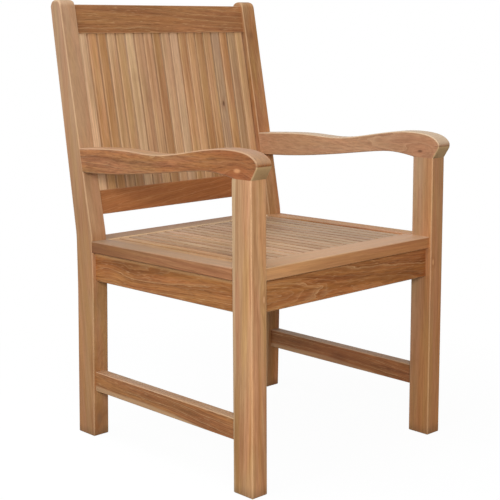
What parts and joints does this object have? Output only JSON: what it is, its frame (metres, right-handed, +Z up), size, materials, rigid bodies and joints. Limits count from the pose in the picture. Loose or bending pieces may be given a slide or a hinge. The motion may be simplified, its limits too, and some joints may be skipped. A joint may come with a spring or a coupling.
{
  "type": "teak dining armchair",
  "caption": "Teak dining armchair with a slatted seat, a raked slatted back and wavy armrests that roll over the front posts.",
  "frame": {"origin": "on the floor, under the middle of the chair's outline", "axes": "+Z up, +Y from the sitter's knees to the back, +X to the sitter's left"},
  "size_m": [0.554, 0.62, 0.92],
  "materials": {
    "teak_post": "sanded teak, satin, light honey brown with fine straight grain",
    "teak_armrest": "sanded teak, satin, orange brown",
    "teak_rail": "sanded teak, satin, reddish brown with wavy figure",
    "teak_apron": "sanded teak, satin, mid brown with pale wavy growth lines",
    "teak_board": "sanded teak, satin, golden brown",
    "teak_slat": "sanded teak, satin, each slat a little lighter or darker",
    "dowel_wood": "plain hardwood dowel",
    "screw_steel": "stainless steel"
  },
  "bodies": {
    "root": {"front_post_left": "teak_post", "front_post_right": "teak_post", "rear_post_left": "teak_post", "rear_post_right": "teak_post", "armrest_left": "teak_armrest", "armrest_right": "teak_armrest", "crest_rail": "teak_rail", "lower_back_rail": "teak_rail", "front_apron": "teak_apron", "rear_apron": "teak_apron", "side_apron_left": "teak_apron", "side_apron_right": "teak_apron", "seat_front_board": "teak_board", "seat_rear_board": "teak_board", "seat_side_board_left": "teak_board", "seat_side_board_right": "teak_board", "side_stretcher_left": "teak_apron", "side_stretcher_right": "teak_apron", "seat_batten": "teak_apron", "batten_screws": "screw_steel", "seat_board_dowels": "dowel_wood", "armrest_dowels": "dowel_wood", "back_slat_01": "teak_slat", "back_slat_02": "teak_slat", "back_slat_03": "teak_slat", "back_slat_04": "teak_slat", "back_slat_05": "teak_slat", "back_slat_06": "teak_slat", "back_slat_07": "teak_slat", "back_slat_08": "teak_slat", "back_slat_09": "teak_slat", "back_slat_10": "teak_slat", "back_slat_11": "teak_slat", "back_slat_12": "teak_slat", "back_slat_13": "teak_slat", "back_slat_14": "teak_slat", "back_slat_15": "teak_slat", "back_slat_16": "teak_slat", "back_slat_17": "teak_slat", "back_slat_18": "teak_slat", "back_slat_19": "teak_slat", "seat_slat_01": "teak_slat", "seat_slat_02": "teak_slat", "seat_slat_03": "teak_slat", "seat_slat_04": "teak_slat", "seat_slat_05": "teak_slat", "seat_slat_06": "teak_slat", "seat_slat_07": "teak_slat", "seat_slat_08": "teak_slat", "seat_slat_09": "teak_slat", "seat_slat_10": "teak_slat", "seat_slat_11": "teak_slat", "seat_slat_12": "teak_slat", "seat_slat_13": "teak_slat", "seat_slat_14": "teak_slat", "seat_slat_15": "teak_slat", "seat_slat_16": "teak_slat", "seat_slat_17": "teak_slat", "seat_slat_18": "teak_slat", "seat_slat_19": "teak_slat"}
  },
  "joints": []
}
